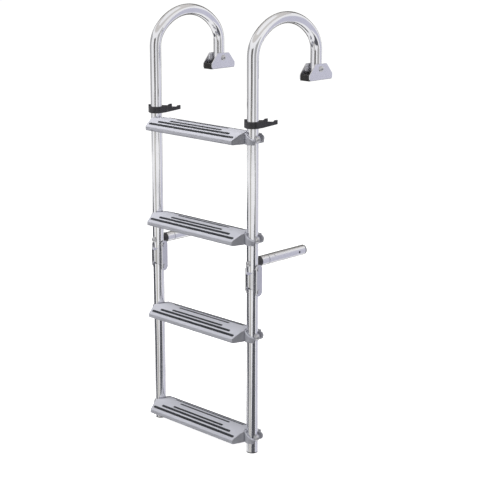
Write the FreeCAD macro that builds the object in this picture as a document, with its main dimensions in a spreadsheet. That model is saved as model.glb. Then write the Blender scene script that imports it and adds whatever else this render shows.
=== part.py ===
"""Folding four-step boat ladder that hooks over a gunwale.

Frame: X runs across the ladder, +Y points to the boat, +Z up. The origin is on the
underside of the left deck foot, below its bolt. Lengths are in millimetres.
"""
import FreeCAD, Part
import math
import os
import Sketcher

doc = FreeCAD.newDocument("BoatLadder")
sheet = doc.addObject("Spreadsheet::Sheet", "Sizes")
ORIGIN = -1


class Measure:
    """A number of the model, kept with its formula in the sheet's names."""

    def __init__(self, text, number):
        self.text = text
        self.number = number

    def __add__(self, other):
        other = measure(other)
        return Measure("(%s + %s)" % (self.text, other.text), self.number + other.number)

    def __sub__(self, other):
        other = measure(other)
        return Measure("(%s - %s)" % (self.text, other.text), self.number - other.number)

    def __mul__(self, other):
        other = measure(other)
        return Measure("(%s * %s)" % (self.text, other.text), self.number * other.number)

    def __truediv__(self, other):
        other = measure(other)
        return Measure("(%s / %s)" % (self.text, other.text), self.number / other.number)

    def __radd__(self, other):
        return measure(other) + self

    def __rsub__(self, other):
        return measure(other) - self

    def __rmul__(self, other):
        return measure(other) * self

    def __neg__(self):
        return measure(0) - self


def measure(value):
    if isinstance(value, Measure):
        return value
    return Measure("(%r)" % value if value < 0 else "%r" % value, float(value))


def root(value):
    return Measure("sqrt(%s)" % value.text, math.sqrt(value.number))


def size(alias, number, note):
    """Write one driving size into the next row of the sheet."""
    size.row += 1
    sheet.set("A%d" % size.row, alias)
    sheet.set("B%d" % size.row, str(number))
    sheet.set("C%d" % size.row, note)
    sheet.setAlias("B%d" % size.row, alias)
    return Measure("Sizes." + alias, float(number))


size.row = 0

# Rails and hooks
rail_gap = size("rail_gap", 300, "between the axes of the two rails")
tube_diameter = size("tube_diameter", 25, "rails and hooks")
tube_wall = size("tube_wall", 1.5, "rails and hooks")
hook_span = size("hook_span", 196, "from a rail's axis to its hook's leg")
hook_rise = size("hook_rise", 77, "from the start of the bend to the top of the axis")
shoulder_radius = size("shoulder_radius", 60, "bend at either side of the hook")
hook_top = size("hook_top", 139.5, "tube axis at the top of the hook, above the deck")
first_step = size("first_step", 106, "deck down to the rod of the top tread")
step_pitch = size("step_pitch", 216, "between the upper three treads")
last_pitch = size("last_pitch", 233, "between the lower two treads")
rail_tail = size("rail_tail", 33, "rail below the rod of the bottom tread")

# Deck feet
plate_thickness = size("plate_thickness", 2, "side plate of a foot")
plate_fit = size("plate_fit", 0.3, "between a plate and the tube")
plate_base = size("plate_base", 73, "length of a plate at the deck")
plate_crest = size("plate_crest", 36, "length of a plate at its top")
plate_lip = size("plate_lip", 11.5, "upright edge of a plate at the deck")
plate_height = size("plate_height", 35, "top of a plate above the deck")
plate_round = size("plate_round", 4, "corners of a plate")
pad_height = size("pad_height", 12, "pad between the plates")
pad_proud = size("pad_proud", 1, "pad below the plates")
pad_gap = size("pad_gap", 1.5, "between the pad and the turning tube")
pad_fit = size("pad_fit", 0.1, "between the pad and a plate")
foot_bolt_height = size("foot_bolt_height", 24, "bolt above the deck")
foot_bolt_radius = size("foot_bolt_radius", 4, "bolt through plates and tube")
leg_tail = size("leg_tail", 6, "hook tube below the bolt")
head_radius = size("head_radius", 6.5, "bolt heads")
head_height = size("head_height", 4.5, "bolt heads")
head_rim = size("head_rim", 1.2, "upright edge of a bolt head under its dome")
socket_radius = size("socket_radius", 2.6, "hexagon socket, to its corners")
socket_depth = size("socket_depth", 2.2, "hexagon socket")

# Treads
tread_front = size("tread_front", 47, "front edge before the rail axis")
tread_rear = size("tread_rear", 28, "rear edge behind the rail axis")
tread_top = size("tread_top", 15.5, "crown above the tread's rod")
tread_curve = size("tread_curve", 60, "radius of the crown")
tread_summit = size("tread_summit", 6, "highest line of the crown, before the rail axis")
tread_underside = size("tread_underside", 10, "below the tread's rod")
tread_skin = size("tread_skin", 3.5, "moulded walls and ribs")
tread_round = size("tread_round", 3, "rounding of the long edges")
tread_past = size("tread_past", 6, "end of the tread past the rail axis")
corner_inset = size("corner_inset", 16, "front corner, inward from the rail axis")
corner_depth = size("corner_depth", 27, "front corner, backward from the front edge")
neck_inset = size("neck_inset", 7.5, "rear end of the corner, inward from the rail axis")
hub_radius = size("hub_radius", 17.3, "round end of a tread about its rail")
hub_step = size("hub_step", 0.3, "between a hub and the step round it")
hub_front = size("hub_front", 2, "front of a hub's top, below the rod")
hub_crest = size("hub_crest", 8, "highest line of a hub, above the rod")
hub_crest_place = size("hub_crest_place", 12, "highest line of a hub, behind the rail axis")
hub_rear = size("hub_rear", 1, "rear of a hub's top, below the rod")
saddle_fit = size("saddle_fit", 0.3, "between the rail and what wraps it")
cell_count = 6
groove_width = size("groove_width", 3.2, "anti-slip groove")
groove_depth = size("groove_depth", 1.6, "anti-slip groove")
strip_fit = size("strip_fit", 0.1, "between a strip and its groove")
strip_proud = size("strip_proud", 0.4, "strip above the tread")
inner_length = size("inner_length", 160, "the two middle grooves")
middle_length = size("middle_length", 222, "the grooves beside them")
outer_length = size("outer_length", 262, "the two outer grooves")
outer_front = size("outer_front", 38.5, "outer front groove before the rail axis")
middle_front = size("middle_front", 30.5, "next groove before the rail axis")
inner_front = size("inner_front", 22.5, "inner front groove before the rail axis")
inner_rear = size("inner_rear", 1, "inner rear groove before the rail axis")
middle_rear = size("middle_rear", 14, "next groove behind the rail axis")
outer_rear = size("outer_rear", 21, "outer rear groove behind the rail axis")
rod_radius = size("rod_radius", 4, "tie rod through a tread")
rod_fit = size("rod_fit", 0.25, "between a rod or bolt and its hole")
washer_radius = size("washer_radius", 8.5, "washer under a bolt head")
washer_thickness = size("washer_thickness", 1.5, "washer under a bolt head")

# Clips for the folded rails
clip_below = size("clip_below", 76, "deck down to the middle of the clip")
clip_band = size("clip_band", 14, "height of the clip's ring")
clip_wall = size("clip_wall", 3, "ring and fork of the clip")
clip_past = size("clip_past", 1, "fork past the axis of the folded rail")
fork_tip = size("fork_tip", 9, "height of the fork at its tips")
fork_lift = size("fork_lift", 3, "underside of the tips above the fork's root")
bridge_length = size("bridge_length", 8, "solid root of the fork")
lip_length = size("lip_length", 8, "raised lip at the fork's tips")
lip_dip = size("lip_dip", 2.5, "fork before its lips, below them")
lug_radius = size("lug_radius", 3.2, "lug on the clip's ring")
lug_side = size("lug_side", 14.3, "lug beside the rail axis")
lug_front = size("lug_front", 6.7, "lug before the rail axis")
lug_rise = size("lug_rise", 3.5, "lug above the ring")

# Stand-offs
arm_below = size("arm_below", 52, "stand-off axis below the second tread's rod")
arm_radius = size("arm_radius", 11, "stand-off tube")
arm_wall = size("arm_wall", 1.5, "stand-off tube")
saddle_length = size("saddle_length", 9.5, "black saddle behind the rail")
collar_length = size("collar_length", 20, "steel collar of the stand-off")
arm_groove = size("arm_groove", 2, "between the collar and the tube")
arm_reach = size("arm_reach", 158, "end of the stand-off tube, behind the rail axis")
arm_cap = size("arm_cap", 3, "cap on the end of the stand-off")
cap_plug = size("cap_plug", 10, "cap inside the tube")
stub_length = size("stub_length", 36, "stub of the collar inside the tube")
button_place = size("button_place", 63, "spring button, behind the rail axis")
button_radius = size("button_radius", 2.5, "spring button")
button_turn = size("button_turn", 45, "spring button, up from the outer side, in degrees")
end_hole_place = size("end_hole_place", 138, "hole near the end of the stand-off")
end_hole_radius = size("end_hole_radius", 2.5, "hole near the end of the stand-off")

# Fold hinges
pin_below = size("pin_below", 64.5, "upper hinge pin below the second tread's rod")
pin_gap = size("pin_gap", 50, "between the two hinge pins of a link")
pin_back = size("pin_back", 4, "hinge pins behind the rail axis")
pin_radius = size("pin_radius", 3, "hinge pins")
pin_fit = size("pin_fit", 0.08, "between a pin and the tube it turns in")
rail_stub = size("rail_stub", 6, "rail end past its hinge pin")
link_gap = size("link_gap", 1.5, "between the link and the rail")
link_wall = size("link_wall", 1.5, "sheet of the link")
link_round = size("link_round", 10, "end of the link round its pins")
link_arch = size("link_arch", 12, "opening of the web round its pins")
rivet_radius = size("rivet_radius", 5, "heads of the hinge pins")
rivet_height = size("rivet_height", 2.2, "heads of the hinge pins")
plug_length = size("plug_length", 12, "plug in a rail's end")
plug_fit = size("plug_fit", 0.1, "between a plug and the tube")
plug_rim = size("plug_rim", 2, "rim of the plug under the rail")
doc.recompute()

# Places and sizes that several pieces share
bore = tube_diameter / 2
rail_y = -hook_span
steps = [-first_step, -first_step - step_pitch, -first_step - step_pitch * 2,
         -first_step - step_pitch * 2 - last_pitch]
rail_end = steps[3] - rail_tail
pin_y = rail_y + pin_back
upper_pin = steps[1] - pin_below
lower_pin = upper_pin - pin_gap
upper_end = upper_pin - rail_stub
lower_top = lower_pin + rail_stub
arm_z = steps[1] - arm_below
leg_end = foot_bolt_height - leg_tail
plate_inner = bore + plate_fit
plate_outer = plate_inner + plate_thickness
rails = {"left": measure(0), "right": rail_gap}
outward = {"left": -1, "right": 1}
TURNS = {"X": FreeCAD.Rotation(FreeCAD.Vector(0, 1, 0), 90),
         "Y": FreeCAD.Rotation(FreeCAD.Vector(1, 0, 0), -90),
         "Z": FreeCAD.Rotation()}
nodes = []


def bind(item, path, value):
    item.setExpression(path, measure(value).text)


def place(item, x, y, z):
    bind(item, "Placement.Base.x", x)
    bind(item, "Placement.Base.y", y)
    bind(item, "Placement.Base.z", z)


def cylinder(name, radius, low, high, centre, along="Z"):
    """Round bar along an axis, from low to high, about centre = the two other places."""
    item = doc.addObject("Part::Cylinder", name)
    bind(item, "Radius", radius)
    bind(item, "Height", high - low)
    first, second = centre
    spot = {"X": (low, first, second), "Y": (first, low, second), "Z": (first, second, low)}[along]
    item.Placement = FreeCAD.Placement(FreeCAD.Vector(*[measure(v).number for v in spot]), TURNS[along])
    place(item, *spot)
    return item


def block(name, x, y, z):
    """Box between the pairs of places x, y and z."""
    item = doc.addObject("Part::Box", name)
    bind(item, "Length", x[1] - x[0])
    bind(item, "Width", y[1] - y[0])
    bind(item, "Height", z[1] - z[0])
    place(item, x[0], y[0], z[0])
    return item


def fuse(name, pieces):
    item = doc.addObject("Part::MultiFuse", name)
    item.Shapes = pieces
    return item


def gather(name, pieces):
    """Pieces of one node that don't touch."""
    item = doc.addObject("Part::Compound", name)
    item.Links = pieces
    return item


def cut(name, base, tool):
    item = doc.addObject("Part::Cut", name)
    item.Base = base
    item.Tool = tool
    return item


def common(name, pieces):
    item = doc.addObject("Part::MultiCommon", name)
    item.Shapes = pieces
    return item


def keep(item, name):
    """Make an object a sub-part of the ladder, under its node's name."""
    item.Label = name
    nodes.append(item)
    return item


def body_plane(body, role):
    for feature in body.Origin.OriginFeatures:
        if feature.Role == role:
            return feature
    return None


def sketch_on(body, name, role, shift=0):
    """Sketch on an origin plane of a body, moved along the plane's normal."""
    sketch = body.newObject("Sketcher::SketchObject", name)
    sketch.AttachmentSupport = (body_plane(body, role), [""])
    sketch.MapMode = "FlatFace"
    bind(sketch, "AttachmentOffset.Base.z", shift)
    return sketch


def hold(sketch, kind, *terms):
    """Add a constraint; a last term that is a measure is bound to its formula."""
    *indices, last = terms
    if isinstance(last, Measure):
        number = sketch.addConstraint(Sketcher.Constraint(kind, *indices, last.number))
        bind(sketch, "Constraints[%d]" % number, last)
    else:
        sketch.addConstraint(Sketcher.Constraint(kind, *terms))


def hold_point(sketch, edge, end, x, y):
    hold(sketch, "DistanceX", ORIGIN, 1, edge, end, measure(x))
    hold(sketch, "DistanceY", ORIGIN, 1, edge, end, measure(y))


def vector(x, y):
    return FreeCAD.Vector(measure(x).number, measure(y).number, 0)


def polygon(sketch, points):
    """Closed outline through points, each held by its two distances from the origin."""
    first = sketch.GeometryCount
    count = len(points)
    for index, (x, y) in enumerate(points):
        next_x, next_y = points[(index + 1) % count]
        sketch.addGeometry(Part.LineSegment(vector(x, y), vector(next_x, next_y)), False)
    for index, (x, y) in enumerate(points):
        hold(sketch, "Coincident", first + index, 2, first + (index + 1) % count, 1)
        hold_point(sketch, first + index, 1, x, y)


def circle(sketch, x, y, radius):
    number = sketch.addGeometry(Part.Circle(vector(x, y), FreeCAD.Vector(0, 0, 1),
                                            measure(radius).number), False)
    hold(sketch, "Radius", number, measure(radius))
    hold_point(sketch, number, 3, x, y)


def slot_outline(sketch, half_length, y, radius):
    """Straight slot along X with round ends, centred on X = 0."""
    inner = half_length - radius
    up = FreeCAD.Vector(0, 0, 1)
    first = sketch.GeometryCount
    quarter = math.pi / 2
    sketch.addGeometry(Part.LineSegment(vector(-inner, y - radius), vector(inner, y - radius)), False)
    sketch.addGeometry(Part.ArcOfCircle(Part.Circle(vector(inner, y), up, radius.number),
                                        -quarter, quarter), False)
    sketch.addGeometry(Part.LineSegment(vector(inner, y + radius), vector(-inner, y + radius)), False)
    sketch.addGeometry(Part.ArcOfCircle(Part.Circle(vector(-inner, y), up, radius.number),
                                        quarter, 3 * quarter), False)
    for index in range(4):
        hold(sketch, "Tangent", first + index, 2, first + (index + 1) % 4, 1)
    hold_point(sketch, first + 1, 3, inner, y)
    hold(sketch, "DistanceX", ORIGIN, 1, first + 3, 3, -inner)
    hold(sketch, "Radius", first + 1, radius)
    hold(sketch, "Horizontal", first)


def pad(body, name, sketch, length, symmetric=False):
    item = body.newObject("PartDesign::Pad", name)
    item.Profile = sketch
    if symmetric:
        item.SideType = "Symmetric"
    bind(item, "Length", length)
    return item


def pocket(body, name, sketch, depth, upward=False):
    item = body.newObject("PartDesign::Pocket", name)
    item.Profile = sketch
    item.Reversed = upward
    bind(item, "Length", depth)
    return item


def round_edges(body, name, base, radius, wanted):
    """Fillet the edges of a feature whose ends pass the test."""
    doc.recompute()
    edges = ["Edge%d" % (number + 1) for number, edge in enumerate(base.Shape.Edges)
             if wanted(edge)]
    item = body.newObject("PartDesign::Fillet", name)
    item.Base = (base, edges)
    bind(item, "Radius", radius)
    return item


def bolt_head(name, x, y, z, along, direction, radius, height):
    """Domed head seated at a place, standing out along an axis."""
    place_of = {"X": x, "Y": y, "Z": z}
    seat = place_of[along]
    top = seat + height * direction
    low, high = (seat, top) if direction > 0 else (top, seat)
    centre = {"X": (y, z), "Y": (x, z), "Z": (x, y)}[along]
    drum = cylinder(name + "_drum", radius, low, high, centre, along)
    rise = height - head_rim
    dome_radius = (radius * radius + rise * rise) / (rise * 2)
    ball = doc.addObject("Part::Sphere", name + "_ball")
    bind(ball, "Radius", dome_radius)
    place_of[along] = top - dome_radius * direction
    place(ball, place_of["X"], place_of["Y"], place_of["Z"])
    dome = common(name + "_dome", [drum, ball])
    hexagon = doc.addObject("Part::Prism", name + "_socket")
    hexagon.Polygon = 6
    bind(hexagon, "Circumradius", socket_radius)
    bind(hexagon, "Height", socket_depth * 2)
    place_of[along] = top - socket_depth
    hexagon.Placement = FreeCAD.Placement(FreeCAD.Vector(), TURNS[along])
    place(hexagon, place_of["X"], place_of["Y"], place_of["Z"])
    return cut(name, dome, hexagon)


def rivet_head(name, x, y, z, direction):
    """Flat head of a hinge pin, seated at x and standing out along X."""
    low, high = (x, x + rivet_height) if direction > 0 else (x - rivet_height, x)
    return cylinder(name, rivet_radius, low, high, (y, z), "X")


# Hooks: each rail's upper half and its bent end are one tube
for side, rail_x in rails.items():
    body = doc.addObject("PartDesign::Body", side + "_hook_tube")
    place(body, rail_x, 0, 0)
    path = sketch_on(body, side + "_hook_path", "YZ_Plane")
    half_span = hook_span / 2
    bend_start = hook_top - hook_rise
    rise_past = hook_rise - shoulder_radius
    run_past = half_span - shoulder_radius
    crown_radius = shoulder_radius + (run_past * run_past + rise_past * rise_past) / (rise_past * 2)
    crown_z = hook_top - crown_radius
    turn = math.atan2(bend_start.number - crown_z.number, run_past.number)
    up = FreeCAD.Vector(0, 0, 1)
    path.addGeometry(Part.LineSegment(vector(rail_y, upper_end), vector(rail_y, bend_start)), False)
    path.addGeometry(Part.ArcOfCircle(Part.Circle(vector(rail_y + shoulder_radius, bend_start), up,
                                                  shoulder_radius.number), math.pi - turn, math.pi), False)
    path.addGeometry(Part.ArcOfCircle(Part.Circle(vector(-half_span, crown_z), up, crown_radius.number),
                                      turn, math.pi - turn), False)
    path.addGeometry(Part.ArcOfCircle(Part.Circle(vector(-shoulder_radius, bend_start), up,
                                                  shoulder_radius.number), 0, turn), False)
    path.addGeometry(Part.LineSegment(vector(0, bend_start), vector(0, leg_end)), False)
    hold(path, "Tangent", 0, 2, 1, 2)
    hold(path, "Tangent", 1, 1, 2, 2)
    hold(path, "Tangent", 2, 1, 3, 2)
    hold(path, "Tangent", 3, 1, 4, 1)
    hold_point(path, 0, 1, rail_y, upper_end)
    hold(path, "Vertical", 0)
    hold(path, "Vertical", 4)
    hold(path, "DistanceY", ORIGIN, 1, 0, 2, bend_start)
    hold(path, "DistanceY", ORIGIN, 1, 4, 1, bend_start)
    hold(path, "Radius", 1, shoulder_radius)
    hold(path, "Radius", 3, shoulder_radius)
    hold(path, "Radius", 2, crown_radius)
    hold(path, "DistanceY", ORIGIN, 1, 4, 2, leg_end)
    ring = sketch_on(body, side + "_hook_ring", "XY_Plane", upper_end)
    circle(ring, 0, rail_y, bore)
    circle(ring, 0, rail_y, bore - tube_wall)
    sweep = body.newObject("PartDesign::AdditivePipe", side + "_hook_sweep")
    sweep.Profile = ring
    sweep.Spine = (path, ["Edge%d" % (number + 1) for number in range(5)])
    low_x, high_x = rail_x - tube_diameter, rail_x + tube_diameter
    holes = [cylinder(side + "_hook_pin_hole", pin_radius + pin_fit, low_x, high_x, (pin_y, upper_pin), "X"),
             cylinder(side + "_leg_bolt_hole", foot_bolt_radius + rod_fit, low_x, high_x,
                      (0, foot_bolt_height), "X"),
             cylinder(side + "_arm_bolt_hole", rod_radius + rod_fit, rail_y - tube_diameter,
                      rail_y + tube_diameter, (rail_x, arm_z), "Y")]
    for number in (0, 1):
        holes.append(cylinder("%s_rod_hole_%d" % (side, number + 1), rod_radius + rod_fit, low_x, high_x,
                              (rail_y, steps[number]), "X"))
    keep(cut(side + "_hook_rail", body, fuse(side + "_hook_holes", holes)), side + "_hook_rail")

# Lower rails hang from the fold hinges
for side, rail_x in rails.items():
    tube = cut(side + "_lower_tube",
               cylinder(side + "_lower_outside", bore, rail_end, lower_top, (rail_x, rail_y)),
               cylinder(side + "_lower_inside", bore - tube_wall, rail_end, lower_top, (rail_x, rail_y)))
    low_x, high_x = rail_x - tube_diameter, rail_x + tube_diameter
    holes = [cylinder(side + "_lower_pin_hole", pin_radius + pin_fit, low_x, high_x,
                      (pin_y, lower_pin), "X")]
    for number in (2, 3):
        holes.append(cylinder("%s_rod_hole_%d" % (side, number + 1), rod_radius + rod_fit, low_x, high_x,
                              (rail_y, steps[number]), "X"))
    keep(cut(side + "_lower_rail", tube, fuse(side + "_lower_holes", holes)), side + "_lower_rail")


def end_plugs(name, low, high, rim_low=None, rim_high=None, pin_z=None):
    """A plug in the end of each rail, with a rim outside it or a hole for its pin."""
    plugs = []
    for side, rail_x in rails.items():
        plug = cylinder("%s_%s_core" % (side, name), bore - tube_wall - plug_fit, low, high,
                        (rail_x, rail_y))
        if rim_low is not None:
            rim = cylinder("%s_%s_rim" % (side, name), bore, rim_low, rim_high, (rail_x, rail_y))
            plug = fuse("%s_%s_whole" % (side, name), [plug, rim])
        if pin_z is not None:
            hole = cylinder("%s_%s_hole" % (side, name), pin_radius + pin_fit, rail_x - tube_diameter,
                            rail_x + tube_diameter, (pin_y, pin_z), "X")
            plug = cut("%s_%s_drilled" % (side, name), plug, hole)
        plugs.append(plug)
    keep(gather(name, plugs), name)


end_plugs("upper_hinge_plugs", upper_end, upper_end + plug_length, pin_z=upper_pin)
end_plugs("lower_hinge_plugs", lower_top - plug_length, lower_top, pin_z=lower_pin)
end_plugs("rail_end_plugs", rail_end - plug_rim, rail_end + plug_length,
          rail_end - plug_rim, rail_end)

# Treads: crowned mouldings, hollow below, with a hub at each end that wraps its rail
half_gap = rail_gap / 2
saddle_radius = bore + saddle_fit
tread_end = half_gap + tread_past
ABOVE = 5
CLOSE = 0.01
groove_rows = (("outer_front", outer_length, -outer_front), ("middle_front", middle_length, -middle_front),
               ("inner_front", inner_length, -inner_front), ("inner_rear", inner_length, -inner_rear),
               ("middle_rear", middle_length, middle_rear), ("outer_rear", outer_length, outer_rear))


def crown_at(y, radius=tread_curve):
    """Height above the rod of an arc about the crown's centre, at a place before or behind the rails."""
    offset = y + tread_summit
    return tread_top - tread_curve + root(radius * radius - offset * offset)


def crowned_outline(sketch, front, rear, low, radius):
    """Section between two upright faces, a flat base and an arc about the crown's centre."""
    corners = [(front, crown_at(front, radius)), (front, low), (rear, low), (rear, crown_at(rear, radius))]
    for start, end in zip(corners, corners[1:]):
        sketch.addGeometry(Part.LineSegment(vector(*start), vector(*end)), False)
    centre_z = tread_top - tread_curve
    crown = Part.Circle(vector(-tread_summit, centre_z), FreeCAD.Vector(0, 0, 1), radius.number)
    angles = [math.atan2(z.number - centre_z.number, y.number + tread_summit.number)
              for y, z in (corners[3], corners[0])]
    sketch.addGeometry(Part.ArcOfCircle(crown, *angles), False)
    for index in range(3):
        hold_point(sketch, index, 1, *corners[index])
    hold_point(sketch, 2, 2, *corners[3])
    for index in range(4):
        hold(sketch, "Coincident", index, 2, (index + 1) % 4, 1)
    hold(sketch, "Radius", 3, radius)


def hub_tops(name, height):
    """What is cut away over the two hubs: they lie below the crown and slope to front and rear."""
    over = doc.addObject("PartDesign::Body", name + "_over_hubs")
    place(over, half_gap, rail_y, height)
    profile = sketch_on(over, name + "_hub_profile", "YZ_Plane")
    front = -hub_radius - ABOVE
    polygon(profile, [(front, -hub_front), (hub_crest_place, hub_crest), (tread_rear, -hub_rear),
                      (tread_rear + ABOVE, -hub_rear), (tread_rear + ABOVE, tread_top + ABOVE),
                      (front, tread_top + ABOVE)])
    pad(over, name + "_over_pad", profile, (tread_end + tube_diameter) * 2, symmetric=True)
    zones = []
    for side, rail_x in rails.items():
        low, high = height - tread_underside, height + tread_top + ABOVE
        outer_x = (rail_x, rail_x + tube_diameter) if outward[side] > 0 else (rail_x - tube_diameter, rail_x)
        zones.append(cylinder("%s_%s_hub_zone" % (name, side), hub_radius + hub_step, low, high,
                              (rail_x, rail_y)))
        zones.append(block("%s_%s_end_zone" % (name, side), outer_x,
                           (rail_y - tube_diameter, rail_y + tread_rear + ABOVE), (low, high)))
    return common(name + "_hub_tops", [over, fuse(name + "_hub_zones", zones)])


def tread_hollow(name, height):
    """Cells between the ribs under a tread, open below."""
    cavity = doc.addObject("PartDesign::Body", name + "_cavity")
    place(cavity, half_gap, rail_y, height)
    outline = sketch_on(cavity, name + "_cavity_section", "YZ_Plane")
    crowned_outline(outline, tread_skin - tread_front, tread_rear - tread_skin, -tread_underside - ABOVE,
                    tread_curve - tread_skin)
    cell_end = half_gap - corner_inset - tread_skin * 2
    pad(cavity, name + "_cavity_pad", outline, cell_end * 2, symmetric=True)
    cell_pitch = (cell_end * 2 + tread_skin) / cell_count
    ribs = []
    for index in range(1, cell_count):
        rib_x = half_gap - cell_end - tread_skin + cell_pitch * index
        ribs.append(block("%s_rib_%d" % (name, index), (rib_x, rib_x + tread_skin),
                          (rail_y - tread_front, rail_y + tread_rear),
                          (height - tread_underside - ABOVE, height + tread_top)))
    return cut(name + "_hollow", cavity, fuse(name + "_ribs", ribs))


def tread(number, height):
    name = "tread_%d" % number
    body = doc.addObject("PartDesign::Body", name + "_moulding")
    place(body, half_gap, rail_y, height)
    through = tread_top + tread_underside + ABOVE * 2

    section = sketch_on(body, name + "_section", "YZ_Plane")
    crowned_outline(section, -tread_front, tread_rear, -tread_underside, tread_curve)
    slab = pad(body, name + "_slab", section, tread_end * 2, symmetric=True)
    round_edges(body, name + "_rounding", slab, tread_round,
                lambda edge: edge.Length > tread_end.number
                and min(abs(edge.CenterOfMass.y + tread_front.number),
                        abs(edge.CenterOfMass.y - tread_rear.number)) < CLOSE)

    corners = sketch_on(body, name + "_corners", "XY_Plane", tread_top + ABOVE)
    corner_x = half_gap - corner_inset
    neck_x = half_gap - neck_inset
    neck_y = corner_depth - tread_front
    for hand in (-1, 1):
        outer_x = (tread_end + ABOVE) * hand
        polygon(corners, [(corner_x * hand, -tread_front), (corner_x * hand, -tread_front - ABOVE),
                          (outer_x, -tread_front - ABOVE), (outer_x, 0), (neck_x * hand, 0),
                          (neck_x * hand, neck_y)])
    pocket(body, name + "_front_corners", corners, through)

    hubs = sketch_on(body, name + "_hubs", "XY_Plane", -tread_underside)
    for hand in (-1, 1):
        circle(hubs, half_gap * hand, 0, hub_radius)
    pad(body, name + "_hub_pad", hubs, tread_underside + hub_crest)

    ends = sketch_on(body, name + "_ends", "XY_Plane", tread_top + ABOVE)
    for hand in (-1, 1):
        end_x = tread_end * hand
        outer_x = (tread_end + tube_diameter) * hand
        polygon(ends, [(end_x, -tube_diameter), (outer_x, -tube_diameter), (outer_x, tube_diameter),
                       (end_x, tube_diameter)])
    pocket(body, name + "_hub_ends", ends, through)

    notches = sketch_on(body, name + "_notches", "XY_Plane", tread_top + ABOVE)
    for hand in (-1, 1):
        circle(notches, half_gap * hand, 0, saddle_radius)
    pocket(body, name + "_rail_notches", notches, through)

    for label, length, groove_y in groove_rows:
        groove = sketch_on(body, "%s_%s_groove" % (name, label), "XY_Plane", tread_top + ABOVE)
        slot_outline(groove, length / 2, groove_y, groove_width / 2)
        pocket(body, "%s_%s_pocket" % (name, label), groove,
               tread_top + ABOVE - crown_at(groove_y) + groove_depth)

    rod_hole = cylinder(name + "_rod_hole", rod_radius + rod_fit, -tube_diameter, rail_gap + tube_diameter,
                        (rail_y, height), "X")
    cuts = fuse(name + "_cuts", [rod_hole, tread_hollow(name, height), hub_tops(name, height)])
    keep(cut(name + "_finished", body, cuts), name)


def grip_strips(number, height):
    """Dark strips that fill a tread's grooves and stand a little proud."""
    name = "grip_strips_%d" % number
    strips = []
    for label, length, groove_y in groove_rows:
        sketch = doc.addObject("Sketcher::SketchObject", "%s_%s_outline" % (name, label))
        place(sketch, half_gap, rail_y, height + crown_at(groove_y) - groove_depth)
        slot_outline(sketch, length / 2 - strip_fit, groove_y, groove_width / 2 - strip_fit)
        strip = doc.addObject("Part::Extrusion", "%s_%s" % (name, label))
        strip.Base = sketch
        strip.DirMode = "Normal"
        strip.Solid = True
        bind(strip, "LengthFwd", groove_depth + strip_proud)
        strips.append(strip)
    keep(gather(name + "_set", strips), name)


for number, height in enumerate(steps, start=1):
    tread(number, height)
    grip_strips(number, height)

# Tie rods run through each tread and both rails, with a washer and a head outside
for number, height in enumerate(steps, start=1):
    rod_end = bore + washer_thickness
    rod_name = "tie_rod_%d" % number
    keep(cylinder(rod_name, rod_radius, -rod_end, rail_gap + rod_end, (rail_y, height), "X"), rod_name)
    heads = []
    for side, rail_x in rails.items():
        hand = outward[side]
        seat = rail_x + (bore + rod_fit) * hand
        washer = cylinder("%s_washer_%d" % (side, number), washer_radius,
                          seat if hand > 0 else seat - washer_thickness,
                          seat + washer_thickness if hand > 0 else seat, (rail_y, height), "X")
        bore_hole = cylinder("%s_washer_bore_%d" % (side, number), rod_radius + pin_fit, rail_x - rail_gap,
                             rail_x + rail_gap, (rail_y, height), "X")
        ring = cut("%s_washer_ring_%d" % (side, number), washer, bore_hole)
        cap_seat = seat + washer_thickness * hand
        head = bolt_head("%s_rod_head_%d" % (side, number), cap_seat, rail_y, height, "X", hand,
                         head_radius, head_height)
        heads.append(fuse("%s_rod_nut_%d" % (side, number), [ring, head]))
    keep(gather("tread_bolts_%d_set" % number, heads), "tread_bolts_%d" % number)

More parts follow.
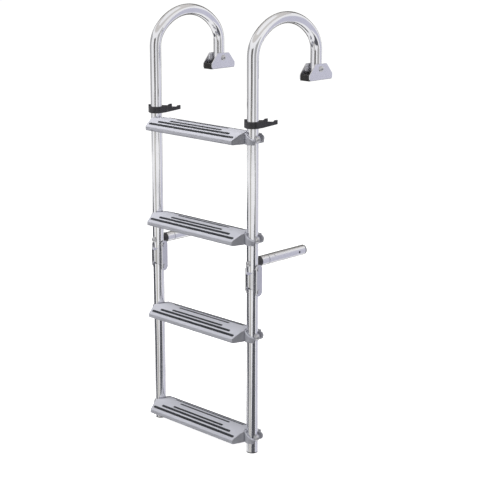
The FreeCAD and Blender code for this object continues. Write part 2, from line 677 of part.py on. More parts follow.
# Deck feet: two side plates, a pad between them and a bolt that the hook swings on
for side, rail_x in rails.items():
    plates = []
    for hand in (-1, 1):
        body = doc.addObject("PartDesign::Body", "%s_plate_%s" % (side, "inner" if hand < 0 else "outer"))
        low_x = rail_x + (plate_inner if hand > 0 else -plate_outer)
        place(body, low_x, 0, 0)
        outline = sketch_on(body, body.Name + "_outline", "YZ_Plane")
        polygon(outline, [(-plate_base / 2, pad_proud), (plate_base / 2, pad_proud),
                          (plate_base / 2, plate_lip + pad_proud), (plate_crest / 2, plate_height),
                          (-plate_crest / 2, plate_height), (-plate_base / 2, plate_lip + pad_proud)])
        plate = pad(body, body.Name + "_sheet", outline, plate_thickness)
        round_edges(body, body.Name + "_rounding", plate, plate_round,
                    lambda edge: abs(edge.Length - plate_thickness.number) < CLOSE)
        hole = sketch_on(body, body.Name + "_hole", "YZ_Plane", -ABOVE)
        circle(hole, 0, foot_bolt_height, foot_bolt_radius + pin_fit)
        pocket(body, body.Name + "_bolt_hole", hole, plate_thickness + ABOVE * 2, upward=True)
        plates.append(body)
    keep(gather(side + "_foot_plates_set", plates), side + "_foot_plates")

    pad_body = doc.addObject("PartDesign::Body", side + "_foot_pad_body")
    place(pad_body, rail_x, 0, 0)
    outline = sketch_on(pad_body, side + "_pad_outline", "YZ_Plane")
    polygon(outline, [(-plate_base / 2, 0), (plate_base / 2, 0), (plate_base / 2, pad_height),
                      (-plate_base / 2, pad_height)])
    pad(pad_body, side + "_pad_block", outline, (plate_inner - pad_fit) * 2, symmetric=True)
    swing_radius = root(leg_tail * leg_tail + bore * bore)
    cradle = cylinder(side + "_pad_cradle", swing_radius + pad_gap, rail_x - tube_diameter,
                      rail_x + tube_diameter, (0, foot_bolt_height), "X")
    keep(cut(side + "_foot_pad_cut", pad_body, cradle), side + "_foot_pad")

    shank = cylinder(side + "_foot_shank", foot_bolt_radius, rail_x - plate_outer, rail_x + plate_outer,
                     (0, foot_bolt_height), "X")
    heads = [bolt_head("%s_foot_head_%d" % (side, hand), rail_x + plate_outer * hand, 0, foot_bolt_height,
                       "X", hand, head_radius, head_height) for hand in (-1, 1)]
    keep(fuse(side + "_foot_bolt_whole", [shank] + heads), side + "_foot_bolt")

# Clips: a ring on each rail with a fork that grips the folded lower rail
clip_z = -clip_below
fork_inner = bore + saddle_fit
fork_outer = fork_inner + clip_wall
fork_end = rail_y + pin_back * 2 + pin_gap + clip_past
for side, rail_x in rails.items():
    low_z, high_z = clip_z - clip_band / 2, clip_z + clip_band / 2
    ring = cylinder(side + "_clip_ring", fork_outer, low_z, high_z, (rail_x, rail_y))
    prongs = doc.addObject("PartDesign::Body", side + "_clip_prongs")
    place(prongs, rail_x, 0, 0)
    outline = sketch_on(prongs, side + "_clip_side", "YZ_Plane")
    root_y = rail_y + bore
    tip_low = low_z + fork_lift
    lip_y = fork_end - lip_length
    polygon(outline, [(rail_y, low_z), (root_y, low_z), (fork_end, tip_low), (fork_end, tip_low + fork_tip),
                      (lip_y, tip_low + fork_tip), (lip_y - lip_dip, tip_low + fork_tip - lip_dip),
                      (root_y, high_z), (rail_y, high_z)])
    pad(prongs, side + "_clip_block", outline, fork_outer * 2, symmetric=True)
    lug = cylinder(side + "_clip_lug", lug_radius, low_z, high_z + lug_rise,
                   (rail_x - lug_side, rail_y - lug_front))
    throat = block(side + "_clip_throat", (rail_x - fork_inner, rail_x + fork_inner),
                   (root_y + bridge_length, fork_end + tube_diameter), (low_z - ABOVE, high_z + ABOVE))
    solid = fuse(side + "_clip_solid", [ring, prongs, lug])
    rail_hole = cylinder(side + "_clip_bore", saddle_radius, low_z - ABOVE, high_z + ABOVE, (rail_x, rail_y))
    keep(cut(side + "_clip_cut", solid, fuse(side + "_clip_tools", [throat, rail_hole])), side + "_clip")

# Stand-offs: a saddle and a collar bolted to the rail, and a tube that a button holds on its stub
for side, rail_x in rails.items():
    hand = outward[side]
    saddle_end = rail_y + bore + saddle_length
    collar_end = saddle_end + collar_length
    tube_start = collar_end + arm_groove
    tube_end = rail_y + arm_reach
    axis = (rail_x, arm_z)
    hug = cylinder(side + "_saddle_hug", saddle_radius, arm_z - tube_diameter, arm_z + tube_diameter,
                   (rail_x, rail_y))
    saddle = cylinder(side + "_saddle_block", arm_radius, rail_y, saddle_end, axis, "Y")
    bolt_way = cylinder(side + "_saddle_way", rod_radius + rod_fit, rail_y, saddle_end, axis, "Y")
    keep(cut(side + "_saddle_cut", saddle, fuse(side + "_saddle_tools", [hug, bolt_way])),
         side + "_standoff_saddle")

    collar = cylinder(side + "_collar", arm_radius, saddle_end, collar_end, axis, "Y")
    stub_radius = arm_radius - arm_wall - rod_fit
    stub = cylinder(side + "_stub", stub_radius, collar_end, collar_end + stub_length, axis, "Y")
    button_reach = arm_radius + arm_wall / 2
    button = doc.addObject("Part::Cylinder", side + "_button")
    bind(button, "Radius", button_radius)
    bind(button, "Height", button_reach)
    across = FreeCAD.Rotation(FreeCAD.Vector(0, 1, 0), 90 * hand)
    lean = FreeCAD.Rotation(FreeCAD.Vector(0, 1, 0), -button_turn.number * hand)
    button.Placement = FreeCAD.Placement(FreeCAD.Vector(), lean.multiply(across))
    place(button, rail_x, rail_y + button_place, arm_z)
    keep(fuse(side + "_socket_whole", [collar, stub, button]), side + "_standoff_socket")

    sleeve = cut(side + "_arm_tube",
                 cylinder(side + "_arm_outside", arm_radius, tube_start, tube_end, axis, "Y"),
                 cylinder(side + "_arm_inside", arm_radius - arm_wall, tube_start, tube_end, axis, "Y"))
    button_hole = doc.addObject("Part::Cylinder", side + "_button_hole")
    bind(button_hole, "Radius", button_radius + rod_fit)
    bind(button_hole, "Height", tube_diameter)
    button_hole.Placement = button.Placement
    place(button_hole, rail_x, rail_y + button_place, arm_z)
    end_hole = cylinder(side + "_end_hole", end_hole_radius, rail_x - (0 if hand > 0 else tube_diameter),
                        rail_x + (tube_diameter if hand > 0 else 0), (rail_y + end_hole_place, arm_z), "X")
    keep(cut(side + "_arm_cut", sleeve, fuse(side + "_arm_holes", [button_hole, end_hole])),
         side + "_standoff_tube")

    cap = fuse(side + "_cap_whole",
               [cylinder(side + "_cap_rim", arm_radius, tube_end, tube_end + arm_cap, axis, "Y"),
                cylinder(side + "_cap_core", arm_radius - arm_wall - plug_fit, tube_end - cap_plug, tube_end,
                         axis, "Y")])
    keep(cap, side + "_standoff_cap")

    front = rail_y - bore
    shank = cylinder(side + "_arm_shank", rod_radius, front, saddle_end, axis, "Y")
    head = bolt_head(side + "_arm_head", rail_x, front, arm_z, "Y", -1, head_radius, head_height)
    keep(fuse(side + "_arm_bolt_whole", [shank, head]), side + "_standoff_bolt")

# Fold hinges: a channel on each rail, open at the back, with a pin through either end
link_inner = bore + link_gap
link_outer = link_inner + link_wall
link_top = upper_pin + link_round
link_low = lower_pin - link_round
link_rear = pin_y + link_round
for side, rail_x in rails.items():
    channel = []
    for label, reach in (("outside", link_outer), ("inside", link_inner)):
        round_front = cylinder("%s_link_%s_front" % (side, label), reach, link_low, link_top,
                               (rail_x, rail_y))
        rear = block("%s_link_%s_rear" % (side, label), (rail_x - reach, rail_x + reach),
                     (rail_y, link_rear if label == "outside" else link_rear + ABOVE), (link_low, link_top))
        channel.append(fuse("%s_link_%s" % (side, label), [round_front, rear]))
    walls = cut(side + "_link_walls", *channel)
    low_x, high_x = rail_x - link_outer, rail_x + link_outer
    profile = [block(side + "_link_side_front", (low_x, high_x), (rail_y - link_outer, pin_y),
                     (lower_pin, upper_pin)),
               block(side + "_link_side_rear", (low_x, high_x), (pin_y, link_rear), (lower_pin, upper_pin))]
    for label, pin_z in (("upper", upper_pin), ("lower", lower_pin)):
        profile.append(cylinder("%s_link_%s_end" % (side, label), link_round, low_x, high_x,
                                (pin_y, pin_z), "X"))
    shaped = common(side + "_link_shaped", [walls, fuse(side + "_link_profile", profile)])
    openings = []
    for label, pin_z in (("upper", upper_pin), ("lower", lower_pin)):
        openings.append(cylinder("%s_link_%s_arch" % (side, label), link_arch, rail_y - tube_diameter,
                                 rail_y, (rail_x, pin_z), "Y"))
        openings.append(cylinder("%s_link_%s_hole" % (side, label), pin_radius + pin_fit, low_x - ABOVE,
                                 high_x + ABOVE, (pin_y, pin_z), "X"))
    keep(cut(side + "_link_cut", shaped, fuse(side + "_link_openings", openings)), side + "_hinge_link")

for label, pin_z in (("upper", upper_pin), ("lower", lower_pin)):
    pins = []
    for side, rail_x in rails.items():
        shank = cylinder("%s_%s_pin_shank" % (side, label), pin_radius, rail_x - link_outer,
                         rail_x + link_outer, (pin_y, pin_z), "X")
        heads = [rivet_head("%s_%s_rivet_%d" % (side, label, hand), rail_x + link_outer * hand, pin_y, pin_z,
                            hand) for hand in (-1, 1)]
        pins.append(fuse("%s_%s_pin" % (side, label), [shank] + heads))
    keep(gather(label + "_hinge_pins_set", pins), label + "_hinge_pins")

doc.recompute()
for item in doc.Objects:
    if "Invalid" in item.State or "Error" in item.State:
        raise RuntimeError("%s failed: %s" % (item.Name, item.State))
os.makedirs("parts", exist_ok=True)
for item in nodes:
    shape = item.Shape
    if shape.isNull() or not shape.isValid():
        raise RuntimeError("%s has no valid shape" % item.Label)
    shape.exportStep("parts/%s.step" % item.Label)
    print("%-26s %2d solids %10.0f mm3" % (item.Label, len(shape.Solids), shape.Volume))
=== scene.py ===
import bmesh
import bpy
import math
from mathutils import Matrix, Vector


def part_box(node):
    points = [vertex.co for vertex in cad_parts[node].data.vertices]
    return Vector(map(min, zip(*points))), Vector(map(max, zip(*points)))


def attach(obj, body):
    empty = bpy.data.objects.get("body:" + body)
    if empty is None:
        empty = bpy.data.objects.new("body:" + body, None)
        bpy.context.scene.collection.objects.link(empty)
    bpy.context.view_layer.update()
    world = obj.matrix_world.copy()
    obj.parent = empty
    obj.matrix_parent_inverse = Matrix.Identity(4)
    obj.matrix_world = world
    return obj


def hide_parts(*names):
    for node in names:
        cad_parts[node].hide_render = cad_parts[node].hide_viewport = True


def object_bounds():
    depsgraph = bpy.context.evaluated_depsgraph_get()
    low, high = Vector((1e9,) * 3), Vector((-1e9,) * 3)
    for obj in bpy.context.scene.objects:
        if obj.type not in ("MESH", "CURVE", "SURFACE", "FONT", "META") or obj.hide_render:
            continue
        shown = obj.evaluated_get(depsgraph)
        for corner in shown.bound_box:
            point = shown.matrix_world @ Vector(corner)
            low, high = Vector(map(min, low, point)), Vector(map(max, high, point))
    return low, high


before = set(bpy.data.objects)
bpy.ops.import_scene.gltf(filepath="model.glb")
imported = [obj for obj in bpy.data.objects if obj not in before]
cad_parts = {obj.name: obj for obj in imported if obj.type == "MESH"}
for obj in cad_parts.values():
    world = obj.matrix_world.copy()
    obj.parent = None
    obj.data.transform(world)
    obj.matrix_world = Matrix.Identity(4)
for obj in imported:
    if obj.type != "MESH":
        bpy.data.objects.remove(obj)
cad_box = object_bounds()


# Rails, hooks and bright fittings.
# Stainless tube and sheet, polished along its length and then buffed, so the shine is
# broken by fine straight marks and by the dull film that hands and salt water leave.
SIDES = ("left", "right")
STEEL_COLOUR = (0.84, 0.84, 0.86)
STEEL_SHADE = (0.76, 0.76, 0.79)
TUBE_MARKS = (900.0, 900.0, 6.0)
FILM_SIZE = 14.0
MARK_STRENGTH = 0.25
MARK_DETAIL = 4.0
FILM_DETAIL = 3.0
FILM_ROUGHNESS = 0.6
NOISE_LOW = 0.3
NOISE_HIGH = 0.7


def empty_group(name, inputs, outputs):
    """Shader node group with named value, vector or colour sockets."""
    group = bpy.data.node_groups.new(name, "ShaderNodeTree")
    for label, kind, value in inputs:
        socket = group.interface.new_socket(label, in_out="INPUT", socket_type=kind)
        socket.default_value = value
    for label, kind in outputs:
        group.interface.new_socket(label, in_out="OUTPUT", socket_type=kind)
    return group, group.nodes.new("NodeGroupInput"), group.nodes.new("NodeGroupOutput")


def polish_group():
    """Fine marks of the polishing belt, and the cloudy film over them."""
    group, given, made = empty_group(
        "Belt polish",
        (("Stretch", "NodeSocketVector", (1.0, 1.0, 1.0)), ("Film size", "NodeSocketFloat", 10.0)),
        (("Marks", "NodeSocketFloat"), ("Film", "NodeSocketFloat")))
    nodes, links = group.nodes, group.links
    place = nodes.new("ShaderNodeTexCoord")
    stretch = nodes.new("ShaderNodeVectorMath")
    stretch.operation = "MULTIPLY"
    marks = nodes.new("ShaderNodeTexNoise")
    marks.inputs["Scale"].default_value = 1.0
    marks.inputs["Detail"].default_value = MARK_DETAIL
    film = nodes.new("ShaderNodeTexNoise")
    film.inputs["Detail"].default_value = FILM_DETAIL
    film.inputs["Roughness"].default_value = FILM_ROUGHNESS
    links.new(place.outputs["Object"], stretch.inputs[0])
    links.new(given.outputs["Stretch"], stretch.inputs[1])
    links.new(stretch.outputs["Vector"], marks.inputs["Vector"])
    links.new(place.outputs["Object"], film.inputs["Vector"])
    links.new(given.outputs["Film size"], film.inputs["Scale"])
    links.new(marks.outputs["Fac"], made.inputs["Marks"])
    links.new(film.outputs["Fac"], made.inputs["Film"])
    return group


belt_polish = polish_group()


def range_of(nodes, links, value, low, high):
    """Spread the values that a noise mostly has over the range from low to high."""
    spread = nodes.new("ShaderNodeMapRange")
    spread.inputs["From Min"].default_value = NOISE_LOW
    spread.inputs["From Max"].default_value = NOISE_HIGH
    spread.inputs["To Min"].default_value = low
    spread.inputs["To Max"].default_value = high
    links.new(value, spread.inputs["Value"])
    return spread.outputs["Result"]


def blend_of(nodes, links, share, first, second):
    """Colour between first and second, by a share that changes over the surface."""
    mix = nodes.new("ShaderNodeMix")
    mix.data_type = "RGBA"
    links.new(share, mix.inputs["Factor"])
    mix.inputs["A"].default_value = (*first, 1.0)
    mix.inputs["B"].default_value = (*second, 1.0)
    return mix.outputs["Result"]


def steel(name, stretch, smooth, dull, depth, bright=1.0):
    """Polished stainless steel: its marks drawn out along an axis, its tone from bright."""
    colour = [value * bright for value in STEEL_COLOUR]
    shade = [value * bright for value in STEEL_SHADE]
    material = bpy.data.materials.new(name)
    material.use_nodes = True
    nodes, links = material.node_tree.nodes, material.node_tree.links
    shader = nodes["Principled BSDF"]
    shader.inputs["Metallic"].default_value = 1.0
    polish = nodes.new("ShaderNodeGroup")
    polish.node_tree = belt_polish
    polish.inputs["Stretch"].default_value = stretch
    polish.inputs["Film size"].default_value = FILM_SIZE
    film = range_of(nodes, links, polish.outputs["Film"], 0.0, 1.0)
    links.new(blend_of(nodes, links, film, colour, shade), shader.inputs["Base Color"])
    links.new(range_of(nodes, links, polish.outputs["Film"], smooth, dull), shader.inputs["Roughness"])
    bump = nodes.new("ShaderNodeBump")
    bump.inputs["Strength"].default_value = MARK_STRENGTH
    bump.inputs["Distance"].default_value = depth
    links.new(polish.outputs["Marks"], bump.inputs["Height"])
    links.new(bump.outputs["Normal"], shader.inputs["Normal"])
    return material


def dress(names, material):
    """Give CAD nodes one material."""
    for name in names:
        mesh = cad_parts[name].data
        mesh.materials.clear()
        mesh.materials.append(material)


tube_steel = steel("tube_steel", TUBE_MARKS, smooth=0.06, dull=0.16, depth=0.00002)
dress([side + "_hook_rail" for side in SIDES] + [side + "_lower_rail" for side in SIDES], tube_steel)


# Treads.
# Injection moulded in light grey plastic with a fine spark-eroded grain. The hubs at
# their ends wrap the rails, and a tie rod runs through each from rail to rail.
TREADS = (1, 2, 3, 4)
UPPER_TREADS = (1, 2)
TREAD_COLOUR = (0.575, 0.580, 0.640)
TREAD_SHADE = (0.530, 0.535, 0.590)
TREAD_GRAIN = 2600.0
GRAIN_STRENGTH = 0.5
GRAIN_DETAIL = 2.0
CLOUD_DETAIL = 5.0


def grain_group():
    """Fine grain of a moulded surface, with slow cloudy changes of tone."""
    group, given, made = empty_group(
        "Moulded grain", (("Grain", "NodeSocketFloat", 2000.0), ("Cloud", "NodeSocketFloat", 12.0)),
        (("Height", "NodeSocketFloat"), ("Tone", "NodeSocketFloat")))
    nodes, links = group.nodes, group.links
    place = nodes.new("ShaderNodeTexCoord")
    grain = nodes.new("ShaderNodeTexNoise")
    grain.inputs["Detail"].default_value = GRAIN_DETAIL
    cloud = nodes.new("ShaderNodeTexNoise")
    cloud.inputs["Detail"].default_value = CLOUD_DETAIL
    for noise, label in ((grain, "Grain"), (cloud, "Cloud")):
        links.new(place.outputs["Object"], noise.inputs["Vector"])
        links.new(given.outputs[label], noise.inputs["Scale"])
    links.new(grain.outputs["Fac"], made.inputs["Height"])
    links.new(cloud.outputs["Fac"], made.inputs["Tone"])
    return group


moulded_grain = grain_group()


def moulding(name, colour, shade, grain, cloud, smooth, dull, depth):
    """Moulded plastic or rubber."""
    material = bpy.data.materials.new(name)
    material.use_nodes = True
    nodes, links = material.node_tree.nodes, material.node_tree.links
    shader = nodes["Principled BSDF"]
    surface = nodes.new("ShaderNodeGroup")
    surface.node_tree = moulded_grain
    surface.inputs["Grain"].default_value = grain
    surface.inputs["Cloud"].default_value = cloud
    tone = range_of(nodes, links, surface.outputs["Tone"], 0.0, 1.0)
    links.new(blend_of(nodes, links, tone, colour, shade), shader.inputs["Base Color"])
    links.new(range_of(nodes, links, surface.outputs["Tone"], smooth, dull), shader.inputs["Roughness"])
    bump = nodes.new("ShaderNodeBump")
    bump.inputs["Strength"].default_value = GRAIN_STRENGTH
    bump.inputs["Distance"].default_value = depth
    links.new(surface.outputs["Height"], bump.inputs["Height"])
    links.new(bump.outputs["Normal"], shader.inputs["Normal"])
    return material


tread_plastic = moulding("tread_plastic", TREAD_COLOUR, TREAD_SHADE, grain=TREAD_GRAIN, cloud=16.0,
                         smooth=0.42, dull=0.55, depth=0.0002)
WELD = 0.000002
TOP_LINE = ((-0.0480, -0.0014), (-0.0389, 0.0050), (-0.0300, 0.0100), (-0.0235, 0.0133), (-0.0195, 0.0141),
            (0.0000, 0.0141), (0.0060, 0.0135), (0.0140, 0.0121), (0.0290, 0.0090))
CUT_STEP = 0.0025
CROWN_TOP = 0.0155
CROWN_CURVE = 0.060
CROWN_SUMMIT = 0.006
SKIN_FULL = 0.0030
SKIN_NONE = 0.0060
CREASE = math.radians(28.0)
HUB_WALL = 0.0045
HUB_GAP = 0.0004
HUB_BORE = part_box("left_hook_rail")[1][0] + HUB_GAP
HUB_LOW = -0.0110
HUB_TOP = 0.0068
HUB_SLOPE = 0.62
HUB_CREST = 0.0120
HUB_MOUTH = 0.0149
HUB_ROUND = 0.0009
ROUND_STEPS = 2
ROUNDED_OVER = math.radians(35.0)
ARC_STEPS = 28
WING_TOP = 0.0112
WING_START = -0.0040
WING_SLOPE = 0.60
LUG_MIDDLE = (0.0100, 0.0018)
LUG_RADIUS = 0.0074
LUG_ROOT = -0.0020
LUG_THICK = 0.0048


def body_of(number):
    """Body that carries a tread: two treads are above the fold and two below."""
    return "upper_ladder" if number in UPPER_TREADS else "lower_ladder"


def mesh_piece(name, shape, material, body):
    """Object made from a bmesh, with its material, on a body."""
    bmesh.ops.recalc_face_normals(shape, faces=shape.faces)
    mesh = bpy.data.meshes.new(name)
    shape.to_mesh(mesh)
    shape.free()
    mesh.materials.append(material)
    piece = bpy.data.objects.new(name, mesh)
    bpy.context.scene.collection.objects.link(piece)
    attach(piece, body)
    return piece


def round_off(piece, width):
    """Small rounding along every sharp edge, with smooth shading between them."""
    bevel = piece.modifiers.new("rounding", "BEVEL")
    bevel.width = width
    bevel.segments = ROUND_STEPS
    bevel.limit_method = "ANGLE"
    bevel.angle_limit = ROUNDED_OVER
    for face in piece.data.polygons:
        face.use_smooth = True
    normals = piece.modifiers.new("face normals", "WEIGHTED_NORMAL")
    normals.keep_sharp = True


def crown_at(y):
    """Height over the rod of the crown that the solid has, at a distance behind the rail."""
    return CROWN_TOP - CROWN_CURVE + math.sqrt(CROWN_CURVE ** 2 - (y + CROWN_SUMMIT) ** 2)


def top_at(y):
    """Height over the rod of the moulded top, at a distance behind the rail."""
    for (near, near_z), (far, far_z) in zip(TOP_LINE, TOP_LINE[1:]):
        if y <= far:
            break
    return near_z + (far_z - near_z) * (y - near) / (far - near)


def tread_place(number):
    """Middle of the tie rod: the tread's own origin."""
    return [(a + b) / 2 for a, b in zip(*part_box("tie_rod_%d" % number))]


def moulded_tread(number):
    """The tread with its top drawn to the moulded line, in place of the plain crown."""
    middle_x, rail_y, rod_z = tread_place(number)
    half_span = middle_x - (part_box("left_hook_rail")[0][0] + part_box("left_hook_rail")[1][0]) / 2
    shape = bmesh.new()
    shape.from_mesh(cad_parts["tread_%d" % number].data)
    bmesh.ops.remove_doubles(shape, verts=shape.verts, dist=WELD)
    y = TOP_LINE[0][0] + CUT_STEP
    while y < TOP_LINE[-1][0]:
        bmesh.ops.bisect_plane(shape, geom=shape.verts[:] + shape.edges[:] + shape.faces[:], dist=WELD,
                               plane_co=(0.0, rail_y + y, 0.0), plane_no=(0.0, 1.0, 0.0))
        y += CUT_STEP
    for vertex in shape.verts:
        behind = vertex.co.y - rail_y
        depth = crown_at(behind) - (vertex.co.z - rod_z)
        share = min(1.0, max(0.0, (SKIN_NONE - depth) / (SKIN_NONE - SKIN_FULL)))
        vertex.co.z += share * (top_at(behind) - crown_at(behind))
        past = max(WING_START, abs(vertex.co.x - middle_x) - half_span) - WING_START
        if past > 0:
            vertex.co.z = min(vertex.co.z, rod_z + WING_TOP - WING_SLOPE * past)
    for edge in shape.edges:
        edge.smooth = edge.calc_face_angle(math.pi) < CREASE
    for face in shape.faces:
        face.smooth = True
    tread = mesh_piece("moulded_tread_%d" % number, shape, tread_plastic, body_of(number))
    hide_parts("tread_%d" % number)


def close_between(shape, first, second):
    """Closed solid between two rings of points that run alike."""
    first = [shape.verts.new(point) for point in first]
    second = [shape.verts.new(point) for point in second]
    shape.faces.new(first)
    shape.faces.new(second)
    for index in range(len(first)):
        after = (index + 1) % len(first)
        shape.faces.new((first[index], first[after], second[after], second[index]))


def extrude_outline(shape, outline, low, high):
    """Closed solid on an outline; low and high give the heights over each of its points."""
    close_between(shape, [(x, y, low(x, y)) for x, y in outline], [(x, y, high(x, y)) for x, y in outline])


def arc(radius, start, end, steps):
    """Points on a circle about the origin, between two angles in degrees."""
    return [(radius * math.cos(math.radians(start + (end - start) * step / steps)),
             radius * math.sin(math.radians(start + (end - start) * step / steps)))
            for step in range(steps + 1)]


def hub_outline():
    """Plan of a hub about its rail: a ring that is open outward, behind its front end."""
    outer = HUB_BORE + HUB_WALL
    mouth = math.degrees(math.acos(HUB_MOUTH / outer))
    return arc(outer, -mouth, -270.0, ARC_STEPS) + arc(HUB_BORE, -270.0, -mouth, ARC_STEPS)


def lug_outline():
    """Side view of the lug that a hub has behind its rail: a tongue with a round tip."""
    tip = [(LUG_MIDDLE[0] + x, LUG_MIDDLE[1] + z) for x, z in arc(LUG_RADIUS, -90.0, 90.0, ARC_STEPS)]
    return [(LUG_ROOT, LUG_MIDDLE[1] - LUG_RADIUS)] + tip + [(LUG_ROOT, LUG_MIDDLE[1] + LUG_RADIUS)]


for number in TREADS:
    moulded_tread(number)
    middle_x, rail_y, rod_z = tread_place(number)
    for side, outward in zip(SIDES, (-1, 1)):
        rail_low, rail_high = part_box(side + ("_hook_rail" if number in UPPER_TREADS else "_lower_rail"))
        rail_x = (rail_low[0] + rail_high[0]) / 2
        hub = bmesh.new()
        extrude_outline(hub, [(rail_x + x * outward, rail_y + y) for x, y in hub_outline()],
                        lambda x, y: rod_z + HUB_LOW,
                        lambda x, y: rod_z + min(HUB_CREST, HUB_TOP - HUB_SLOPE * (x - rail_x) * outward))
        close_between(hub, *([(rail_x + x * outward, rail_y + HUB_BORE + back, rod_z + z)
                              for x, z in lug_outline()] for back in (0.0, LUG_THICK)))
        sleeve = mesh_piece("%s_tread_hub_%d" % (side, number), hub, tread_plastic, body_of(number))
        round_off(sleeve, HUB_ROUND)


# Anti-slip strips.
# Charcoal rubber with a gritty face, pressed into the grooves of each tread.
STRIP_COLOUR = (0.040, 0.042, 0.048)
STRIP_SHADE = (0.022, 0.024, 0.028)
strip_rubber = moulding("strip_rubber", STRIP_COLOUR, STRIP_SHADE, grain=1500.0, cloud=260.0,
                        smooth=0.75, dull=0.95, depth=0.0006)
STRIP_WIDTH = 0.0048
STRIP_PROUD = 0.0006
STRIP_DEPTH = 0.0015
STRIP_ROUND = 0.0003
STRIP_ENDS = 8
STRIP_NARROW = 0.0034
STRIP_ROWS = ((0.262, -0.0388, STRIP_WIDTH), (0.223, -0.0302, STRIP_WIDTH), (0.161, -0.0225, STRIP_WIDTH),
              (0.160, -0.0010, STRIP_WIDTH), (0.221, 0.0128, STRIP_NARROW), (0.262, 0.0212, STRIP_NARROW))


def strip_outline(length, row_y, width):
    """Straight strip along X with round ends, about the middle of the tread."""
    reach = (length - width) / 2
    ends = arc(width / 2, -90.0, 90.0, STRIP_ENDS)
    return [(reach + x, row_y + y) for x, y in ends] + [(-reach - x, row_y - y) for x, y in ends]


for number in TREADS:
    middle_x, rail_y, rod_z = tread_place(number)
    strips = bmesh.new()
    for length, row_y, width in STRIP_ROWS:
        outline = [(middle_x + x, rail_y + y) for x, y in strip_outline(length, row_y, width)]
        extrude_outline(strips, outline, lambda x, y: rod_z + top_at(y - rail_y) - STRIP_DEPTH,
                        lambda x, y: rod_z + top_at(y - rail_y) + STRIP_PROUD)
    rubber = mesh_piece("grip_rubber_%d" % number, strips, strip_rubber, body_of(number))
    round_off(rubber, STRIP_ROUND)
    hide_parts("grip_strips_%d" % number)


# Tie rods and bolts.
# Stainless bar through each tread, held by domed socket heads over washers. They are
# turned and left duller than the rails.
SHEET_MARKS = (60.0, 60.0, 60.0)
bolt_steel = steel("bolt_steel", SHEET_MARKS, smooth=0.22, dull=0.36, depth=0.00003, bright=0.72)
dress(["tie_rod_%d" % number for number in TREADS] + ["tread_bolts_%d" % number for number in TREADS]
      + [side + "_standoff_bolt" for side in SIDES] + [side + "_foot_bolt" for side in SIDES], bolt_steel)


# Deck feet.
# Two pressed side plates with a black rubber pad between them, on the hook's bolt.
PAD_COLOUR = (0.016, 0.015, 0.015)
PAD_SHADE = (0.028, 0.026, 0.025)
pad_rubber = moulding("pad_rubber", PAD_COLOUR, PAD_SHADE, grain=900.0, cloud=60.0,
                      smooth=0.55, dull=0.75, depth=0.0003)
sheet_steel = steel("sheet_steel", SHEET_MARKS, smooth=0.16, dull=0.30, depth=0.00003)
dress([side + "_foot_plates" for side in SIDES], sheet_steel)
dress([side + "_foot_pad" for side in SIDES], pad_rubber)


# Rail clips, stand-off saddles and plugs.
# Black nylon mouldings with a satin skin. The clips grip the rails, and the plugs close
# the cut ends of the tubes.
NYLON_COLOUR = (0.030, 0.029, 0.034)
NYLON_SHADE = (0.046, 0.044, 0.050)
black_nylon = moulding("black_nylon", NYLON_COLOUR, NYLON_SHADE, grain=1400.0, cloud=45.0,
                       smooth=0.30, dull=0.46, depth=0.0002)
dress([side + "_clip" for side in SIDES] + [side + "_standoff_saddle" for side in SIDES]
      + [side + "_standoff_cap" for side in SIDES]
      + ["upper_hinge_plugs", "lower_hinge_plugs", "rail_end_plugs"], black_nylon)


# Stand-offs.
# A turned collar with a stub, and a satin sleeve that a spring button holds on it. Both
# are brushed along the arm.
ARM_MARKS = (900.0, 6.0, 900.0)
arm_steel = steel("arm_steel", ARM_MARKS, smooth=0.18, dull=0.30, depth=0.00001, bright=0.95)
dress([side + "_standoff_socket" for side in SIDES] + [side + "_standoff_tube" for side in SIDES], arm_steel)


# Fold hinges.
# Pressed steel channels on riveted pins, polished along their length and a little darker
# than the rails.
link_steel = steel("link_steel", TUBE_MARKS, smooth=0.10, dull=0.22, depth=0.00002, bright=0.80)
dress([side + "_hinge_link" for side in SIDES] + ["upper_hinge_pins", "lower_hinge_pins"], link_steel)


# Studio.
# A white floor under the ladder, a high soft light in front and a weaker one behind, with
# dark, grey and pale cards that show only in reflections.
FLOOR_SIZE = 30.0
FLOOR_DROP = 0.001
FLOOR_GREY = (0.5, 0.5, 0.5)
FLOOR_GLOW = 0.95
FLOOR_ROUGHNESS = 0.9
low, high = cad_box
middle = Vector([(a + b) / 2 for a, b in zip(low, high)])


def white_floor():
    """Floor that shows white, with the ladder's soft shadow."""
    material = bpy.data.materials.new("floor_white")
    material.use_nodes = True
    nodes, links = material.node_tree.nodes, material.node_tree.links
    shader = nodes["Principled BSDF"]
    shader.inputs["Base Color"].default_value = (*FLOOR_GREY, 1.0)
    shader.inputs["Roughness"].default_value = FLOOR_ROUGHNESS
    shader.inputs["Specular IOR Level"].default_value = 0.0
    shader.inputs["Emission Color"].default_value = (1.0, 1.0, 1.0, 1.0)
    path = nodes.new("ShaderNodeLightPath")
    seen = nodes.new("ShaderNodeMath")
    seen.operation = "MAXIMUM"
    links.new(path.outputs["Is Camera Ray"], seen.inputs[0])
    links.new(path.outputs["Is Glossy Ray"], seen.inputs[1])
    level = nodes.new("ShaderNodeMath")
    level.operation = "MULTIPLY"
    level.inputs[1].default_value = FLOOR_GLOW
    links.new(seen.outputs["Value"], level.inputs[0])
    links.new(level.outputs["Value"], shader.inputs["Emission Strength"])
    return material


bpy.ops.mesh.primitive_plane_add(size=FLOOR_SIZE, location=(middle.x, middle.y, low[2] - FLOOR_DROP))
floor = bpy.context.object
floor.name = "studio_floor"
floor.data.materials.append(white_floor())
floor.visible_glossy = False

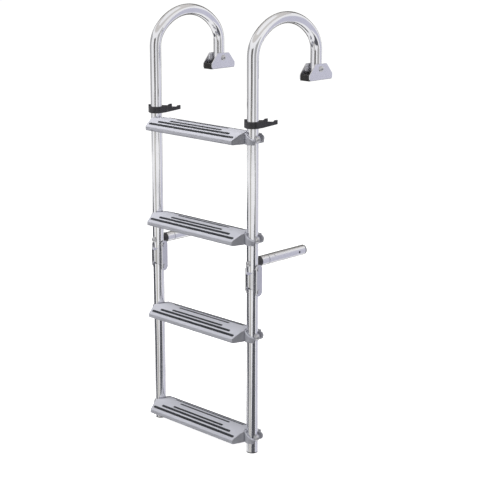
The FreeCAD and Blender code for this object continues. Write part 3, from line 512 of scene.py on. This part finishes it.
WORLD_FILL = 0.20
world = bpy.data.worlds.new("studio_world")
bpy.context.scene.world = world
world.use_nodes = True
sky = world.node_tree.nodes["Background"]
rays = world.node_tree.nodes.new("ShaderNodeLightPath")
shown = world.node_tree.nodes.new("ShaderNodeMath")
shown.operation = "MAXIMUM"
through = world.node_tree.nodes.new("ShaderNodeMath")
through.operation = "MAXIMUM"
strength = world.node_tree.nodes.new("ShaderNodeMapRange")
strength.inputs["To Min"].default_value = WORLD_FILL
strength.inputs["To Max"].default_value = 1.0
join = world.node_tree.links.new
join(rays.outputs["Is Camera Ray"], shown.inputs[0])
join(rays.outputs["Is Glossy Ray"], shown.inputs[1])
join(shown.outputs["Value"], through.inputs[0])
join(rays.outputs["Is Transmission Ray"], through.inputs[1])
join(through.outputs["Value"], strength.inputs["Value"])
join(strength.outputs["Result"], sky.inputs["Strength"])
sky.inputs["Color"].default_value = (1.0, 1.0, 1.0, 1.0)


SOFTBOX_SIZE = 2.0


def softbox(name, offset, power):
    """Square soft light, off the ladder's middle and turned to it, that nothing mirrors."""
    lamp = bpy.data.lights.new(name, "AREA")
    lamp.size = SOFTBOX_SIZE
    lamp.energy = power
    item = bpy.data.objects.new(name, lamp)
    bpy.context.scene.collection.objects.link(item)
    item.location = middle + Vector(offset)
    item.rotation_euler = (middle - item.location).to_track_quat("-Z", "Y").to_euler()
    item.visible_glossy = False


CARD_DISTANCE = 3.0
CARD_TURN = 44.7
CARD_STEPS = 12


def reflection_card(name, rows, colour):
    """Curved card round the ladder that shows only in reflections.

    Each row gives a height, and the angles of the card's two edges from the viewing side.
    """
    material = bpy.data.materials.new(name)
    material.use_nodes = True
    shader = material.node_tree.nodes["Principled BSDF"]
    shader.inputs["Base Color"].default_value = (0.0, 0.0, 0.0, 1.0)
    shader.inputs["Emission Color"].default_value = (*colour, 1.0)
    shader.inputs["Emission Strength"].default_value = 1.0
    shape = bmesh.new()
    lines = []
    for height, start, end in rows:
        line = []
        for step in range(CARD_STEPS + 1):
            angle = math.radians(CARD_TURN + start + (end - start) * step / CARD_STEPS)
            line.append(shape.verts.new((middle.x + CARD_DISTANCE * math.sin(angle),
                                         middle.y - CARD_DISTANCE * math.cos(angle), height)))
        lines.append(line)
    for lower, upper in zip(lines, lines[1:]):
        for step in range(CARD_STEPS):
            shape.faces.new((lower[step], lower[step + 1], upper[step + 1], upper[step]))
    mesh = bpy.data.meshes.new(name)
    shape.to_mesh(mesh)
    shape.free()
    mesh.materials.append(material)
    card = bpy.data.objects.new(name, mesh)
    bpy.context.scene.collection.objects.link(card)
    card.visible_camera = False
    card.visible_diffuse = False
    card.visible_shadow = False
    card.visible_transmission = False


DARK_CARD = (0.070, 0.072, 0.085)
DUSK_CARD = (0.150, 0.145, 0.135)
GREY_CARD = (0.42, 0.42, 0.42)
WARM_CARD = (0.52, 0.51, 0.47)
PALE_CARD = (0.60, 0.60, 0.70)
CEILING_CARD = (0.66, 0.64, 0.61)
CARDS = (
    ("right_card", DARK_CARD, ((-3.2, -24.0, 60.0), (-1.98, -16.0, 58.0), (-1.52, 2.0, 56.0),
                               (-1.08, 18.0, 56.0), (-0.89, 40.0, 56.0), (-0.47, 44.0, 52.0))),
    ("left_card", DARK_CARD, ((-2.13, -92.0, -74.0), (-1.56, -116.0, -64.0), (-1.15, -150.0, -84.0),
                              (-1.00, -150.0, -90.0), (-0.85, -108.0, -92.0))),
    ("upper_card", DUSK_CARD, ((-0.66, -26.0, -16.0), (-0.40, -36.0, -4.0), (1.2, -38.0, -2.0))),
    ("upper_left_card", GREY_CARD, ((-0.70, -112.0, -92.0), (-0.40, -140.0, -88.0), (1.2, -140.0, -88.0))),
    ("left_screen", WARM_CARD, ((-3.2, -64.0, -20.0), (-0.70, -52.0, -28.0), (-0.47, -54.0, -38.0))),
    ("upper_right_card", GREY_CARD, ((-0.70, 28.0, 46.0), (-0.40, 22.0, 60.0), (1.2, 22.0, 60.0))),
    ("right_screen", PALE_CARD, ((-3.2, 60.0, 125.0), (1.0, 86.0, 112.0))),
    ("rear_card", DUSK_CARD, ((-3.2, 152.0, 208.0), (0.0, 146.0, 214.0), (2.4, 140.0, 220.0))),
    ("ceiling_card", CEILING_CARD, ((2.4, -178.0, 178.0), (6.0, -178.0, 178.0))))
for name, colour, rows in CARDS:
    reflection_card(name, rows, colour)
LIGHTS = (("front_light", (-0.7, -1.2, 3.0), 110.0), ("rear_light", (0.9, 2.6, 1.2), 30.0))
for name, offset, power in LIGHTS:
    softbox(name, offset, power)


# Camera.
# On the photograph's side of the ladder, tilted down where the photograph's is level with
# its frame shifted down, because every other view would keep that shift.
CAMERA_PLACE = (2.239, -2.194, 0.383)
CAMERA_TURN = math.radians(44.69)
CAMERA_TILT = math.radians(14.24)
FOCAL_PIXELS = 1351.0
FRAME_PIXELS = 480.0
SENSOR_WIDTH = 36.0
lens = bpy.data.cameras.new("camera")
lens.sensor_width = SENSOR_WIDTH
lens.lens = FOCAL_PIXELS / FRAME_PIXELS * SENSOR_WIDTH
camera = bpy.data.objects.new("camera", lens)
bpy.context.scene.collection.objects.link(camera)
camera.location = CAMERA_PLACE
camera.rotation_euler = (math.pi / 2 - CAMERA_TILT, 0.0, CAMERA_TURN)
bpy.context.scene.camera = camera
bpy.context.scene.view_settings.view_transform = "Standard"
